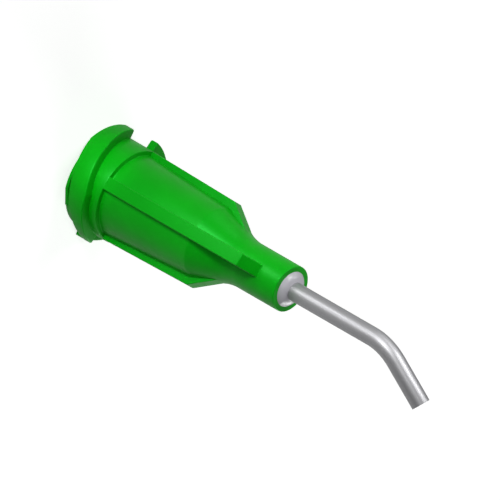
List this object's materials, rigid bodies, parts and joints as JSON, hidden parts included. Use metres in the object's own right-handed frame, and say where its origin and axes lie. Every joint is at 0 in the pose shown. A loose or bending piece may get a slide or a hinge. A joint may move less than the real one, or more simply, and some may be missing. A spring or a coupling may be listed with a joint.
{
  "type": "dispensing needle tip",
  "caption": "Bent blunt dispensing needle with a ribbed luer lock hub, for placing glue, flux or grease from a syringe.",
  "frame": {"origin": "centre of the socket's mouth, on the rim that the tip stands on", "axes": "+Z along the hub from the socket's mouth to the nose, +X toward the side that the tube bends to"},
  "size_m": [0.0078, 0.0078, 0.0296],
  "materials": {
    "green_polypropylene": "satin moulded",
    "stainless_steel": "drawn",
    "clear_adhesive": "cured, glossy"
  },
  "bodies": {
    "root": {"hub": "green_polypropylene", "needle_tube": "stainless_steel", "adhesive_bead": "clear_adhesive"}
  },
  "joints": []
}
